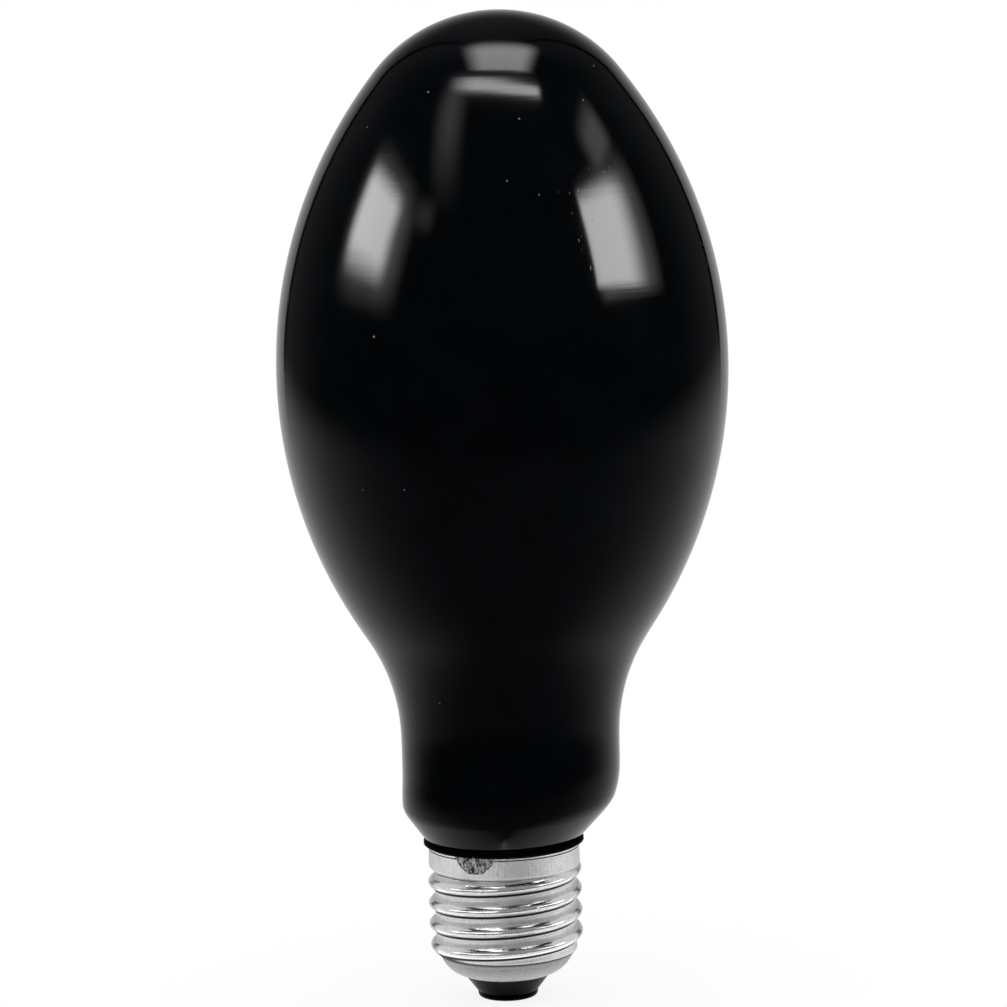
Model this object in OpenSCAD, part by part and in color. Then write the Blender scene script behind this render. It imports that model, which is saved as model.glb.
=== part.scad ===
// Black-light bulb: a sealed black glass bulb cemented into an Edison screw cap.
// The origin is the middle of the end contact's face, and +Z runs up to the crown of the glass.
// A turn counts from +X towards +Y. The side solder is near the front, which is -Y.

/* [Glass bulb] */
// Largest diameter of the glass
bulb_diameter = 75.6; // [66:0.2:90]
// Height of the crown above the widest circle
crown_height = 59.4; // [50:0.2:72]
// Radius of the crown
crown_radius = 26; // [21:0.1:31]
// Diameter of the neck
neck_diameter = 36.9; // [32:0.1:44]
// Length of the straight neck
neck_length = 8.7; // [2:0.1:20]
// Radius of the hollow curve that leads from the side into the neck
flank_radius = 31.2; // [20:0.1:45]
// Radius of the corner where the neck turns in to the seal
neck_corner_radius = 6.8; // [4:0.1:12]
// Angle between the seal cone and the axis
seal_angle = 40; // [30:0.1:55]
// Diameter of the glass stub that stands in the cap
stub_diameter = 21.2; // [16:0.1:22]
// Length of the stub below the top of the cement
stub_length = 9; // [5:0.1:11]
// Radius of the stub's lower edge
stub_edge_radius = 2.5; // [1:0.1:4]
// Diameter of the sealed exhaust tip under the stub
exhaust_tip_diameter = 6; // [4:0.1:7]
// Length of the exhaust tip
exhaust_tip_length = 4; // [3.5:0.1:5]

/* [Cement ring] */
// Largest diameter of the cement bead between the glass and the cap
bead_diameter = 27.2; // [27:0.1:29]
// Height of the bead above the cap's rim
bead_height = 1.45; // [1.3:0.05:4]
// Height of the bead above its widest circle
bead_top_edge = 1.1; // [0.4:0.05:1.2]
// How far the bead stands out past the glass
bead_lip = 0.15; // [0.1:0.05:0.5]
// How far the bead's foot stands in from the rim of the cap
bead_foot_inset = 0.1; // [0:0.05:0.2]

/* [Screw shell] */
// Outer diameter of the thread
thread_diameter = 26.1; // [26.05:0.05:26.45]
// Diameter at the root of the thread
thread_root_diameter = 23.9; // [23.6:0.05:24.7]
// Rise of the thread in one turn
thread_pitch = 3.63; // [3.4:0.01:3.9]
// Height from the top of the dome to the foot of the skirt
thread_height = 15.05; // [12:0.05:20]
// Turn at which the thread rises out of the dome
thread_start_angle = 296; // [0:1:359]
// Turns over which the thread grows at its lower end
thread_run_in = 0.9; // [0.3:0.05:1.2]
// Turns over which the thread fades at its upper end
thread_run_out = 0.5; // [0.2:0.05:1]
// Diameter at the foot of the skirt
skirt_diameter = 25.7; // [25.5:0.05:26.2]
// Diameter just under the rim of the skirt
rim_diameter = 25.5; // [25.2:0.05:26]
// Height of the skirt
skirt_height = 3.3; // [1.5:0.1:6]
// Height of the slope between the thread root and the skirt
skirt_foot_height = 1.3; // [0.8:0.1:2]
// Height of the rolled bead on the rim
rim_bead_height = 0.4; // [0.3:0.05:0.6]
// How far the rolled bead stands out
rim_bead_depth = 0.12; // [0.05:0.01:0.2]
// Thickness of the sheet
shell_wall = 0.3; // [0.2:0.05:0.4]
// Diameter at the top of the dome under the thread
dome_top_diameter = 22; // [21:0.1:22.6]
// Diameter of the opening at the lower end of the dome
dome_opening_diameter = 14.9; // [12:0.1:15.5]
// Height of the dome
dome_height = 2.75; // [2.4:0.05:5]
// Radius of the dome's section
dome_radius = 5.1; // [4.6:0.05:12]
// Height over which the dome's top widens to the thread root
dome_shoulder_height = 1.5; // [1:0.1:2.2]

/* [Insulator] */
// Height of the shell's opening above the contact face
nose_height = 4.1; // [2.4:0.1:5]
// Diameter of the nose at its lip
nose_diameter = 10.2; // [9.6:0.1:11]
// Height of the lip round the contact
lip_height = 0.95; // [0.8:0.05:1.4]
// Radius of the lip's lower edge
lip_edge_radius = 0.7; // [0.3:0.05:0.75]
// How far the lip stands out past the cone above it
lip_step = 0.08; // [0:0.01:0.2]
// Height of the insulator's rim above the top of the dome
insulator_rim_height = 2.2; // [1:0.1:3]
// Width of the insulator's rim
insulator_rim_width = 1.2; // [0.8:0.1:2]
// Height of the cup's floor above the shell's opening
insulator_floor_height = 2.4; // [1.5:0.1:3.5]
// Diameter of the insulator's middle hole
insulator_hole_diameter = 2; // [1.4:0.1:3]
// Diameter of the cup's floor round the hole
insulator_floor_diameter = 6; // [4:0.1:9]

/* [Contact, solder and leads] */
// Diameter of the end contact
contact_diameter = 8.2; // [7:0.1:8.6]
// Thickness of the end contact
contact_thickness = 0.6; // [0.5:0.05:0.75]
// Diameter of the dish in the contact
dish_diameter = 3.2; // [2.4:0.1:5]
// Depth of the dish
dish_depth = 0.35; // [0.2:0.05:0.4]
// Width of the dish's sloping edge
dish_slope = 0.3; // [0.1:0.05:0.5]
// How far the solder in the dish stays below the contact face
dish_solder_inset = 0.08; // [0.02:0.01:0.15]
// Diameter of the lead wires
lead_diameter = 0.5; // [0.4:0.05:0.7]
// Distance of the leads from the axis where they leave the stub
lead_root_offset = 5.5; // [4.5:0.1:7]
// Depth under the stub at which the side lead turns outwards
side_lead_drop = 1.5; // [1:0.1:2.5]
// Depth under the exhaust tip at which the middle lead turns in to the axis
centre_lead_drop = 1.2; // [0.8:0.1:2]
// Turn of the side lead and its solder
side_solder_angle = 247; // [0:1:359]
// Width of the side solder
side_solder_width = 7.2; // [3:0.1:9]
// Height of the side solder
side_solder_height = 2.7; // [1.5:0.1:3.2]
// How far the side solder stands out
side_solder_depth = 0.7; // [0.4:0.05:1]
// How far the side lead's end shows past the rim
side_lead_end = 0.35; // [0.1:0.05:0.6]

/* [Hidden] */

$fn = 96;

// Free space between round pieces that sit in each other
round_fit = 0.05;
// Free space between the side solder and what it lies against
solder_fit = 0.02;

// Steps in the curves
crown_steps = 9;
side_steps = 13;
flank_steps = 9;
corner_steps = 6;
edge_steps = 5;
dome_steps = 6;

// Steps in the rolled sheet: round the axis, and up one pitch outside and inside
turn_steps = 60;
outer_steps_per_pitch = 10;
inner_steps_per_pitch = 6;

// The third harmonic that widens crest and root to the round thread form of an Edison cap
thread_flat_share = 0.04;
// How far past the skirt's foot the thread still runs, as a share of the pitch
thread_overlap_share = 0.14;

// The most of the room above the seal cone that the neck's corner may take
corner_room_share = 0.95;
// Heights of the two points of the rim's bead that stand out, as shares of its height
rim_bead_low_share = 0.25;
rim_bead_high_share = 0.75;
// How far the cement bead's middle stands out from its foot towards its widest circle
bead_belly_share = 0.65;
// How much deeper the dish's solder sits halfway out than at the axis
dish_solder_sag_share = 1.25;

// The side solder's outline and crumple, as shares of its width, height and depth
solder_foot_share = 0.35;
solder_edge_share = 0.12;
solder_crumple_share = 0.28;
solder_flat_share = 0.55;
// Turns of the crumple's waves across and up the side solder, and how far each slants
crumple_across = 430;
crumple_across_slant = 130;
crumple_up = 520;
crumple_up_slant = 160;
// Points across and up the side solder
solder_columns = 16;
solder_rows = 10;

// Heights of the cap, from the contact face up
dome_top_z = nose_height + dome_height;
skirt_foot_z = dome_top_z + thread_height;
skirt_z = skirt_foot_z + skirt_foot_height;
rim_z = skirt_z + skirt_height;
seat_z = rim_z + bead_height;

// Radii of the cap
thread_r = thread_diameter / 2;
root_r = thread_root_diameter / 2;
skirt_r = skirt_diameter / 2;
rim_r = rim_diameter / 2;
dome_top_r = dome_top_diameter / 2;
opening_r = dome_opening_diameter / 2;
bead_r = bead_diameter / 2;
seat_r = bead_r - bead_lip;
stub_r = stub_diameter / 2;
lead_r = lead_diameter / 2;
lead_bore_r = lead_r + round_fit;

// Points along an arc from angle a to angle b
function arc_points(centre, radius, a, b, steps) =
    [for (i = [0:steps]) let (t = a + (b - a) * i / steps) centre + radius * [cos(t), sin(t)]];

// A smooth step from 0 to 1 while t goes from 0 to 1
function smooth_step(t) = let (u = min(max(t, 0), 1)) u * u * (3 - 2 * u);

// Outline of the glass
bulb_r = bulb_diameter / 2;
neck_r = neck_diameter / 2;

// The corner arc is limited by the seal cone that it ends on
corner_room = (neck_r - seat_r) / (1 - cos(seal_angle));
corner_r = min(neck_corner_radius, corner_room * corner_room_share);
corner_centre_r = neck_r - corner_r;
cone_top_r = corner_centre_r + corner_r * cos(seal_angle);
cone_top_z = seat_z + (cone_top_r - seat_r) / tan(seal_angle);
corner_centre_z = cone_top_z + corner_r * sin(seal_angle);
neck_top_z = corner_centre_z + neck_length;

// One side arc runs through the widest circle, touches the crown arc inside and the flank arc outside
side_r = (bulb_r ^ 2 + crown_height ^ 2 - 2 * crown_height * crown_radius)
    / (bulb_diameter - 2 * crown_radius);
side_centre_r = bulb_r - side_r;
flank_centre_r = neck_r + flank_radius;
waist_height = sqrt((side_r + flank_radius) ^ 2 - (flank_centre_r - side_centre_r) ^ 2);
widest_z = neck_top_z + waist_height;
crown_centre_z = widest_z + crown_height - crown_radius;
flank_angle = atan2(waist_height, flank_centre_r - side_centre_r);
crown_angle = atan2(crown_centre_z - widest_z, -side_centre_r);

glass_outline = concat(
    arc_points([corner_centre_r, corner_centre_z], corner_r, -seal_angle, 0, corner_steps),
    arc_points([flank_centre_r, neck_top_z], flank_radius, 180, 180 - flank_angle, flank_steps),
    arc_points([side_centre_r, widest_z], side_r, -flank_angle, crown_angle, side_steps * 2),
    arc_points([0, crown_centre_z], crown_radius, crown_angle, 90, crown_steps)
);

// Outline of the stub and the exhaust tip below it
stub_z = seat_z - stub_length;
tip_r = exhaust_tip_diameter / 2;
tip_z = stub_z - exhaust_tip_length;
stub_outline = concat(
    [[0, tip_z]],
    arc_points([0, tip_z + tip_r], tip_r, -90, 0, edge_steps),
    [[tip_r, stub_z]],
    arc_points([stub_r - stub_edge_radius, stub_z + stub_edge_radius], stub_edge_radius, -90, 0, edge_steps),
    [[stub_r, seat_z], [seat_r, seat_z]]
);

// Section of the dome: one arc through the opening's edge and the dome's top edge
opening_point = [opening_r, nose_height];
dome_top_point = [dome_top_r, dome_top_z];
dome_chord = dome_top_point - opening_point;
dome_half_chord = norm(dome_chord) / 2;
dome_rise = sqrt(max(dome_radius ^ 2 - dome_half_chord ^ 2, 0));
dome_inward = [-dome_chord.y, dome_chord.x] / norm(dome_chord);
dome_centre = (opening_point + dome_top_point) / 2 + dome_rise * dome_inward;

// Turn at which an arc set in from the dome's outside reaches a radius
function dome_angle(radius, inset) = -acos((radius - dome_centre.x) / (dome_radius - inset));
// The arc set in from the dome's outside, between two radii
function dome_arc(inset, from_radius, to_radius) =
    arc_points(
        dome_centre, dome_radius - inset,
        dome_angle(from_radius, inset), dome_angle(to_radius, inset), dome_steps
    );

// Radius of the sheet's outside without the thread
function plain_radius(z) =
    z < skirt_foot_z
    ? dome_top_r + (root_r - dome_top_r) * smooth_step((z - dome_top_z) / dome_shoulder_height)
    : z < skirt_z
    ? root_r + (skirt_r - root_r) * smooth_step((z - skirt_foot_z) / skirt_foot_height)
    : skirt_r + (rim_r - skirt_r) * (z - skirt_z) / skirt_height;

// The thread's turns are counted from its lower end
thread_turns = (thread_height + skirt_foot_height) / thread_pitch + thread_overlap_share;
function thread_growth(turns) =
    smooth_step(turns / thread_run_in) * smooth_step((thread_turns - turns) / thread_run_out);

// Rise of the round thread over its root: 1 at the crest and 0 half a pitch away
function thread_wave(phase) =
    (1 + (cos(phase) - thread_flat_share * cos(3 * phase)) / (1 - thread_flat_share)) / 2;

// Radius of the sheet's outside at one turn angle and height
function shell_radius(angle, z) =
    let (
        lead_in = (angle - thread_start_angle) / 360,
        climbed = (z - dome_top_z) / thread_pitch - lead_in,
        crest = round(climbed),
        rise = thread_growth(crest + lead_in) * thread_wave(360 * (climbed - crest)),
        plain = plain_radius(z)
    )
    max(plain, min(plain, root_r) + (thread_r - root_r) * rise);

// Rings of points round the axis
function plain_ring(point) =
    [for (i = [0:turn_steps - 1])
        let (a = 360 * i / turn_steps) [point.x * cos(a), point.x * sin(a), point.y]];
function thread_ring(z, inset) =
    [for (i = [0:turn_steps - 1])
        let (a = 360 * i / turn_steps, r = shell_radius(a, z) - inset) [r * cos(a), r * sin(a), z]];

// Heights that divide the threaded stretch into even steps
thread_top_z = min(skirt_z + thread_overlap_share * thread_pitch, rim_z - 2 * rim_bead_height);
function thread_levels(steps_per_pitch) =
    let (steps = ceil((thread_top_z - dome_top_z) / thread_pitch * steps_per_pitch))
    [for (k = [0:steps]) dome_top_z + (thread_top_z - dome_top_z) * k / steps];

// The dome's arc without its top point, which is the first threaded ring
function dome_points(inset) =
    let (arc = dome_arc(inset, opening_r, dome_top_r - inset))
    [for (k = [0:dome_steps - 1]) arc[k]];

// The rolled bead at the rim, from its foot up
rim_points = [
    [rim_r, rim_z - rim_bead_height],
    [rim_r + rim_bead_depth, rim_z - rim_bead_height * rim_bead_high_share],
    [rim_r + rim_bead_depth, rim_z - rim_bead_height * rim_bead_low_share],
    [rim_r, rim_z]
];

outer_rings = concat(
    [for (p = dome_points(0)) plain_ring(p)],
    [for (z = thread_levels(outer_steps_per_pitch)) thread_ring(z, 0)],
    [for (p = rim_points) plain_ring(p)]
);
inner_rings = concat(
    [for (p = dome_points(shell_wall)) plain_ring(p)],
    [for (z = thread_levels(inner_steps_per_pitch)) thread_ring(z, shell_wall)],
    [plain_ring([rim_r - shell_wall, rim_z])]
);

// Side lead: out under the stub, up between glass and sheet, and over the rim
side_lead_r = stub_r + round_fit + lead_r;
side_lead_z = stub_z - side_lead_drop;
side_lead_top_z = rim_z + round_fit + lead_r;
side_lead_path = [
    [lead_root_offset, stub_z], [lead_root_offset, side_lead_z], [side_lead_r, side_lead_z],
    [side_lead_r, side_lead_top_z], [rim_r + rim_bead_depth + side_lead_end, side_lead_top_z]
];

// Middle lead: down past the exhaust tip, in to the axis, and down to the contact's dish
centre_lead_z = tip_z - centre_lead_drop;
centre_lead_end_z = dish_depth - dish_solder_inset;
centre_lead_path = [
    [-lead_root_offset, stub_z], [-lead_root_offset, centre_lead_z],
    [0, centre_lead_z], [0, centre_lead_end_z]
];

// One point of the side solder: 1 is on its crumpled front and 0 is on the skirt behind it
function solder_point(column, row, on_front) =
    let (
        across = 2 * column / solder_columns - 1,
        up = row / solder_rows,
        half_width = side_solder_width / 2 * (solder_foot_share + (1 - solder_foot_share) * sin(90 * up)),
        z = rim_z - side_solder_height * (1 - up),
        back_r = (z > rim_z - rim_bead_height ? rim_r + rim_bead_depth : plain_radius(z)) + solder_fit,
        bulge = solder_flat_share + (1 - solder_flat_share) * sin(180 * up),
        dome = sqrt(max(1 - across ^ 2, 0)) * bulge,
        fold = cos(crumple_across * across + crumple_across_slant * up),
        crumple = fold * cos(crumple_up * up - crumple_up_slant * across),
        rise = solder_edge_share + (1 - solder_edge_share) * dome * (1 + solder_crumple_share * crumple),
        r = back_r + on_front * side_solder_depth * rise,
        turn = across * half_width / skirt_r * 180 / PI
    )
    [r * cos(turn), r * sin(turn), z];

// A closed skin over rings of points, from the last ring back to the first
module ring_skin(rings) {
    ring_count = len(rings);
    faces = [
        for (r = [0:ring_count - 1]) for (i = [0:turn_steps - 1])
            let (
                up = (r + 1) % ring_count,
                next = (i + 1) % turn_steps,
                a = r * turn_steps + i,
                b = up * turn_steps + i,
                c = up * turn_steps + next,
                d = r * turn_steps + next
            )
            each [[a, b, c], [a, c, d]]
    ];
    polyhedron(points = [for (ring = rings) each ring], faces = faces, convexity = 8);
}

// A straight round bar between two points of the lead's plane, which holds the axis
module bar(start, end, radius) {
    run = end - start;
    translate([start.x, 0, start.y])
        rotate([0, atan2(run.x, run.y), 0])
            cylinder(h = norm(run), r = radius);
}

// A bent wire: bars between the path's points, with a ball at each bend
module bent_wire(path, radius) {
    for (i = [1:len(path) - 1]) {
        bar(path[i - 1], path[i], radius);
    }
    for (i = [1:len(path) - 2]) {
        translate([path[i].x, 0, path[i].y]) sphere(r = radius);
    }
}

module glass_envelope() {
    color([0.03, 0.03, 0.04])
        rotate_extrude() polygon(concat(stub_outline, glass_outline));
}

module cement_ring() {
    foot_r = rim_r - bead_foot_inset;
    plug_r = rim_r - shell_wall - round_fit;
    plug_z = skirt_z + round_fit;
    bead_widest_z = seat_z - bead_top_edge;
    section = [
        [stub_r + round_fit, plug_z], [plug_r, plug_z], [plug_r, rim_z], [foot_r, rim_z],
        [foot_r + (bead_r - foot_r) * bead_belly_share, (rim_z + bead_widest_z) / 2],
        [bead_r, bead_widest_z], [bead_r, bead_widest_z + bead_top_edge / 2],
        [seat_r, seat_z], [stub_r + round_fit, seat_z]
    ];
    color([0.05, 0.05, 0.05])
        difference() {
            rotate_extrude() polygon(section);
            rotate([0, 0, side_solder_angle]) bent_wire(side_lead_path, lead_bore_r);
        }
}

module screw_shell() {
    color([0.80, 0.80, 0.79])
        ring_skin(concat(outer_rings, [for (i = [len(inner_rings) - 1:-1:0]) inner_rings[i]]));
}

module insulator() {
    nose_r = nose_diameter / 2;
    neck_hole_r = opening_r - round_fit;
    body_r = dome_top_r - shell_wall - 2 * round_fit;
    rim_top_z = dome_top_z + insulator_rim_height;
    floor_z = nose_height + insulator_floor_height;
    hole_r = insulator_hole_diameter / 2;
    recess_r = contact_diameter / 2 + round_fit;
    section = concat(
        [[hole_r, contact_thickness], [recess_r, contact_thickness], [recess_r, 0]],
        arc_points([nose_r - lip_edge_radius, lip_edge_radius], lip_edge_radius, -90, 0, edge_steps),
        [[nose_r, lip_height], [nose_r - lip_step, lip_height], [neck_hole_r, nose_height]],
        dome_arc(shell_wall + round_fit, neck_hole_r, body_r),
        [[body_r, rim_top_z], [body_r - insulator_rim_width, rim_top_z]],
        [[insulator_floor_diameter / 2, floor_z], [hole_r, floor_z]]
    );
    color([0.02, 0.02, 0.02])
        rotate_extrude() polygon(section);
}

module centre_contact() {
    contact_r = contact_diameter / 2;
    dish_r = dish_diameter / 2;
    section = [
        [lead_bore_r, contact_thickness], [contact_r, contact_thickness], [contact_r, 0],
        [dish_r, 0], [dish_r - dish_slope, dish_depth], [lead_bore_r, dish_depth]
    ];
    color([0.75, 0.70, 0.55])
        rotate_extrude() polygon(section);
}

module contact_solder() {
    foot_r = dish_diameter / 2 - dish_slope - round_fit;
    section = [
        [0, dish_solder_inset], [foot_r / 2, dish_solder_inset * dish_solder_sag_share],
        [foot_r, (dish_solder_inset + dish_depth) / 2], [foot_r, dish_depth],
        [lead_bore_r, dish_depth], [lead_bore_r, centre_lead_end_z - round_fit],
        [0, centre_lead_end_z - round_fit]
    ];
    color([0.62, 0.62, 0.62])
        rotate_extrude() polygon(section);
}

module side_solder() {
    // The front sheet of points, then the back sheet on the skirt, joined all round
    front = [for (row = [0:solder_rows]) for (column = [0:solder_columns]) solder_point(column, row, 1)];
    back = [for (row = [0:solder_rows]) for (column = [0:solder_columns]) solder_point(column, row, 0)];
    span = solder_columns + 1;
    size = len(front);
    rim = concat(
        [for (column = [0:solder_columns - 1]) column],
        [for (row = [0:solder_rows - 1]) row * span + solder_columns],
        [for (column = [solder_columns:-1:1]) solder_rows * span + column],
        [for (row = [solder_rows:-1:1]) row * span]
    );
    cells = [for (row = [0:solder_rows - 1]) for (column = [0:solder_columns - 1]) row * span + column];
    faces = concat(
        [for (a = cells) each [[a, a + span, a + span + 1], [a, a + span + 1, a + 1]]],
        [for (a = cells)
            let (b = a + size)
            each [[b, b + span + 1, b + span], [b, b + 1, b + span + 1]]],
        [for (i = [0:len(rim) - 1])
            let (a = rim[i], b = rim[(i + 1) % len(rim)])
            each [[a, b, b + size], [a, b + size, a + size]]]
    );
    color([0.45, 0.45, 0.45])
        rotate([0, 0, side_solder_angle])
            polyhedron(points = concat(front, back), faces = faces, convexity = 4);
}

module side_lead() {
    color([0.70, 0.70, 0.68])
        rotate([0, 0, side_solder_angle]) bent_wire(side_lead_path, lead_r);
}

module centre_lead() {
    color([0.70, 0.70, 0.68])
        rotate([0, 0, side_solder_angle]) bent_wire(centre_lead_path, lead_r);
}

glass_envelope();
cement_ring();
screw_shell();
insulator();
centre_contact();
contact_solder();
side_solder();
side_lead();
centre_lead();
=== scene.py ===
"""Black-light bulb: a sealed black glass bulb cemented into an Edison screw cap, and its studio.

Lengths are in metres. The origin is the middle of the end contact's face, +Z runs up to the crown of the
glass and -Y points to the camera. A turn counts from +X towards +Y.
"""

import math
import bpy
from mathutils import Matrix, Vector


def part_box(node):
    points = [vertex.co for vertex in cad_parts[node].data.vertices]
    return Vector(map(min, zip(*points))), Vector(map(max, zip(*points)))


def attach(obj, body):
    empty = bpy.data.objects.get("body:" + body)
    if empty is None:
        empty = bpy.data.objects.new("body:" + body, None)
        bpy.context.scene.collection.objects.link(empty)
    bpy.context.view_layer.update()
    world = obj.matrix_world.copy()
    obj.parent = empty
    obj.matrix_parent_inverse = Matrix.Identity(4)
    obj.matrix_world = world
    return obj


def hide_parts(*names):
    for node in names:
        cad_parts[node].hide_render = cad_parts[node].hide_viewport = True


bl_info = {
    "name": "Black-light Bulb",
    "version": (1, 0, 0),
    "blender": (4, 5, 0),
    "location": "3D View > Sidebar > Bulb",
    "description": "Models a black-light bulb with an Edison screw cap, and the studio it stands in",
    "category": "Add Mesh",
}

from functools import partial

import bpy
from bpy.props import FloatProperty, FloatVectorProperty, PointerProperty
from mathutils import Quaternion, Vector, noise

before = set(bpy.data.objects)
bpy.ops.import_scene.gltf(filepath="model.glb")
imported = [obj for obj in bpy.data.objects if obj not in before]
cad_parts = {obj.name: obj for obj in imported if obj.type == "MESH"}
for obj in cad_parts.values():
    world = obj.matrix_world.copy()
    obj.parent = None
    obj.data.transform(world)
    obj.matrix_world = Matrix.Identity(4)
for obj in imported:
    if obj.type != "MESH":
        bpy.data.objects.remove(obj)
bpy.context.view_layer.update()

MM = 0.001

# Steps round the axis of every turned piece
TURN_STEPS = 192
# Points closer than this are merged
MERGE_DISTANCE = 0.002 * MM
# How far a new piece's box may depart from its CAD node's
FIT_LIMIT = 2.5 * MM


def linear(hex_colour):
    """An sRGB hex colour as linear red, green and blue."""
    shares = [int(hex_colour[i : i + 2], 16) / 255 for i in (1, 3, 5)]
    return [s / 12.92 if s <= 0.04045 else ((s + 0.055) / 1.055) ** 2.4 for s in shares]


# Settings


def length_setting(name, millimetres, description):
    """A length that a user may change, with its default given in millimetres."""
    return FloatProperty(
        name=name, description=description, default=millimetres * MM, unit="LENGTH", precision=5
    )


def angle_setting(name, degrees, description):
    """An angle that a user may change, with its default given in degrees."""
    return FloatProperty(
        name=name, description=description, default=math.radians(degrees), unit="ROTATION"
    )


def colour_setting(name, hex_colour, description):
    """A colour that a user may change, with its default given as sRGB hex."""
    return FloatVectorProperty(
        name=name, description=description, default=linear(hex_colour), subtype="COLOR", min=0, max=1
    )


class BulbGlassSettings(bpy.types.PropertyGroup):
    """Sizes and colours of the glass bulb."""

    bulb_diameter: length_setting("Bulb diameter", 75.6, "Largest diameter of the glass")
    crown_height: length_setting("Crown height", 59.4, "Height of the crown above the widest circle")
    crown_radius: length_setting("Crown radius", 26.0, "Radius of the crown")
    neck_diameter: length_setting("Neck diameter", 36.9, "Diameter of the straight neck")
    neck_length: length_setting("Neck length", 8.7, "Length of the straight neck")
    flank_radius: length_setting(
        "Flank radius", 31.2, "Radius of the hollow curve from the side into the neck"
    )
    corner_radius: length_setting(
        "Neck corner radius", 6.8, "Radius of the corner where the neck turns in to the seal"
    )
    seal_angle: angle_setting("Seal angle", 40, "Angle between the seal cone and the axis")
    stub_diameter: length_setting("Stub diameter", 21.2, "Diameter of the glass stub that stands in the cap")
    stub_length: length_setting("Stub length", 9, "Length of the stub below the top of the cement")
    stub_edge_radius: length_setting("Stub edge radius", 2.5, "Radius of the stub's lower edge")
    tip_diameter: length_setting(
        "Exhaust tip diameter", 6, "Diameter of the sealed exhaust tip under the stub"
    )
    tip_length: length_setting("Exhaust tip length", 4, "Length of the exhaust tip")
    seal_offset: length_setting(
        "Seal offset", 1.63, "How far the hand-sealed glass stands off the cap's axis"
    )
    seal_lean: angle_setting("Seal lean", 0.42, "How far the hand-sealed glass leans off the cap's axis")
    seal_skew: angle_setting("Seal skew", 1.7, "Slope by which the neck's corner is higher on one side")
    glass_colour: colour_setting("Glass colour", "#010203", "Colour of the black filter glass")
    film_colour: colour_setting("Film colour", "#030406", "Colour of the glass under faint handling marks")
    dust_colour: colour_setting("Dust colour", "#6A6B6E", "Colour of the dust specks on the glass")


class BulbCapSettings(bpy.types.PropertyGroup):
    """Sizes and colours of the screw cap and the cement above it."""

    thread_diameter: length_setting("Thread diameter", 26.1, "Outer diameter of the thread")
    root_diameter: length_setting("Root diameter", 23.9, "Diameter at the root of the thread")
    pitch: length_setting("Pitch", 3.63, "Rise of the thread in one turn")
    thread_height: length_setting(
        "Thread height", 15.05, "Height from the top of the dome to the foot of the skirt"
    )
    thread_start: angle_setting("Thread start", 296, "Turn at which the thread rises out of the dome")
    run_in: FloatProperty(
        name="Run-in", description="Turns over which the thread grows at its lower end", default=0.9,
    )
    run_out: FloatProperty(
        name="Run-out", description="Turns over which the thread fades at its upper end", default=0.5,
    )
    skirt_diameter: length_setting("Skirt diameter", 25.7, "Diameter at the foot of the skirt")
    rim_diameter: length_setting("Rim diameter", 25.5, "Diameter just under the rim of the skirt")
    skirt_height: length_setting("Skirt height", 3.3, "Height of the skirt")
    skirt_foot_height: length_setting(
        "Skirt foot height", 1.3, "Height of the slope between the thread root and the skirt"
    )
    rim_bead_height: length_setting("Rim bead height", 0.4, "Height of the rolled bead on the rim")
    rim_bead_depth: length_setting("Rim bead depth", 0.12, "How far the rolled bead stands out")
    wall: length_setting("Sheet thickness", 0.3, "Thickness of the rolled sheet")
    dome_top_diameter: length_setting(
        "Dome diameter", 22, "Diameter at the top of the dome under the thread"
    )
    opening_diameter: length_setting(
        "Opening diameter", 14.9, "Diameter of the opening at the lower end of the dome"
    )
    dome_height: length_setting("Dome height", 2.75, "Height of the dome")
    dome_radius: length_setting("Dome radius", 5.1, "Radius of the dome's section")
    dome_shoulder: length_setting(
        "Dome shoulder", 1.5, "Height over which the dome's top widens to the thread root"
    )
    bead_diameter: length_setting("Bead diameter", 27.2, "Largest diameter of the cement bead")
    bead_height: length_setting("Bead height", 1.45, "Height of the cement bead above the cap's rim")
    bead_edge: length_setting("Bead edge", 1.1, "Height of the bead above its widest circle")
    bead_lip: length_setting("Bead lip", 0.15, "How far the bead stands out past the glass")
    foot_inset: length_setting("Bead foot inset", 0.1, "How far the bead's foot stands in from the rim")
    plating_colour: colour_setting("Plating colour", "#F7F7F6", "Colour of the nickel plating")
    tarnish_colour: colour_setting(
        "Tarnish colour", "#B4B4B2", "Colour of the plating where it is tarnished"
    )
    # Painted shade: the dome's plating is painted darker where it faces down
    dome_shade_colour: colour_setting("Dome shade colour", "#B8B9B9", "Colour of the painted shade on the dome's plating")
    # Painted shade: the dark line under each turn of the thread and under the rim's bead
    painted_shade_colour: colour_setting(
        "Painted shade colour", "#151515", "Colour of the painted shade in a line under each turn of the thread"
    )
    cement_colour: colour_setting("Cement colour", "#020202", "Colour of the black basing cement")


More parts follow.
